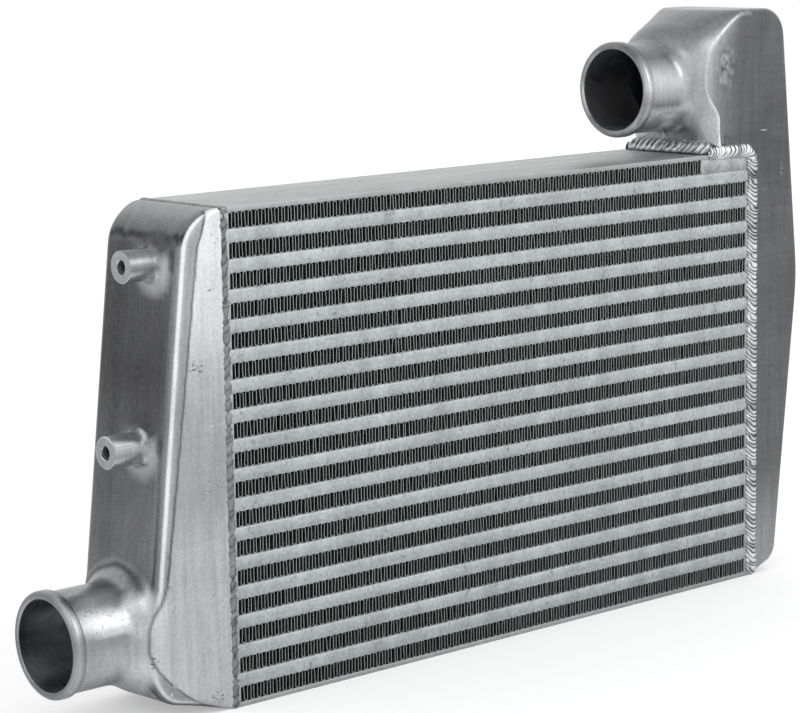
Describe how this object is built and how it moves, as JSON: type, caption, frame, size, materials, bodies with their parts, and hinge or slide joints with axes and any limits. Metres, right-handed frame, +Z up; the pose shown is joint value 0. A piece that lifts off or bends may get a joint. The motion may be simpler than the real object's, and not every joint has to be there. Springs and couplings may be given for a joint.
{
  "type": "intercooler",
  "caption": "Bar-and-plate charge air cooler: a finned aluminium core between two cast end tanks, each with a round hose port; one port turns back over the core from a raised hood.",
  "frame": {"origin": "middle of the core's underside, the face that the cooler stands on", "axes": "+X along the core from the inlet tank to the outlet tank, +Y from the front face to the back, +Z up"},
  "size_m": [0.6113, 0.08, 0.3906],
  "materials": {
    "cast_metal": "cast, then ground and hand polished",
    "plate_metal": "rolled plate, matt",
    "tube_metal": "extruded bar after brazing, matt",
    "bar_metal": "extruded bar after brazing, matt",
    "air_fin_metal": "thin folded sheet",
    "charge_fin_metal": "thin folded sheet",
    "weld_metal": "bright rippled weld bead"
  },
  "bodies": {
    "root": {"inlet_tank": "cast_metal", "outlet_tank": "cast_metal", "top_side_plate": "plate_metal", "bottom_side_plate": "plate_metal", "corner_block": "plate_metal", "charge_tube_01": "tube_metal", "charge_tube_02": "tube_metal", "charge_tube_03": "tube_metal", "charge_tube_04": "tube_metal", "charge_tube_05": "tube_metal", "charge_tube_06": "tube_metal", "charge_tube_07": "tube_metal", "charge_tube_08": "tube_metal", "charge_tube_09": "tube_metal", "charge_tube_10": "tube_metal", "charge_tube_11": "tube_metal", "charge_tube_12": "tube_metal", "charge_tube_13": "tube_metal", "charge_tube_14": "tube_metal", "charge_tube_15": "tube_metal", "charge_tube_16": "tube_metal", "inlet_end_bars": "bar_metal", "outlet_end_bars": "bar_metal", "air_fin_01": "air_fin_metal", "air_fin_02": "air_fin_metal", "air_fin_03": "air_fin_metal", "air_fin_04": "air_fin_metal", "air_fin_05": "air_fin_metal", "air_fin_06": "air_fin_metal", "air_fin_07": "air_fin_metal", "air_fin_08": "air_fin_metal", "air_fin_09": "air_fin_metal", "air_fin_10": "air_fin_metal", "air_fin_11": "air_fin_metal", "air_fin_12": "air_fin_metal", "air_fin_13": "air_fin_metal", "air_fin_14": "air_fin_metal", "air_fin_15": "air_fin_metal", "air_fin_16": "air_fin_metal", "air_fin_17": "air_fin_metal", "charge_fin_01": "charge_fin_metal", "charge_fin_02": "charge_fin_metal", "charge_fin_03": "charge_fin_metal", "charge_fin_04": "charge_fin_metal", "charge_fin_05": "charge_fin_metal", "charge_fin_06": "charge_fin_metal", "charge_fin_07": "charge_fin_metal", "charge_fin_08": "charge_fin_metal", "charge_fin_09": "charge_fin_metal", "charge_fin_10": "charge_fin_metal", "charge_fin_11": "charge_fin_metal", "charge_fin_12": "charge_fin_metal", "charge_fin_13": "charge_fin_metal", "charge_fin_14": "charge_fin_metal", "charge_fin_15": "charge_fin_metal", "charge_fin_16": "charge_fin_metal", "inlet_weld": "weld_metal", "outlet_weld": "weld_metal", "hood_weld": "weld_metal"}
  },
  "joints": []
}
